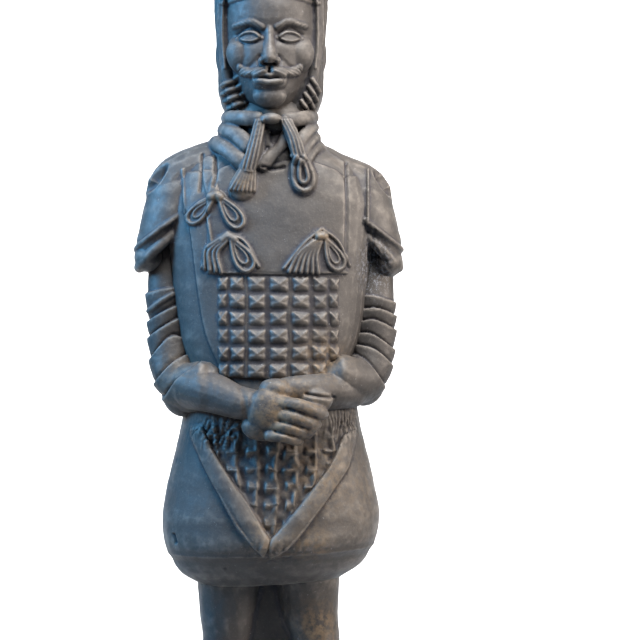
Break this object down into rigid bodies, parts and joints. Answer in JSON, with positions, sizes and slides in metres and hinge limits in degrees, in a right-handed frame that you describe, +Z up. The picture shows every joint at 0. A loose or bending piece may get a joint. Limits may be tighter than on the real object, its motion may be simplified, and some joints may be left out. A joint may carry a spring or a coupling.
{
  "type": "armoured general statuette",
  "caption": "Dark clay statuette of a standing armoured general with folded hands, in one piece with a low rectangular base.",
  "frame": {"origin": "centre of the base's underside, where the statuette rests", "axes": "+Z up, from the base to the top of the cap; the face looks along -Y; +X is to the right as one faces the statuette"},
  "size_m": [0.0877, 0.0674, 0.2994],
  "materials": {
    "fired_clay": "dark grey unglazed fired clay with a dull soft sheen, light specks and tan dust on the raised places"
  },
  "bodies": {
    "root": {"warrior_statue": "fired_clay"}
  },
  "joints": []
}
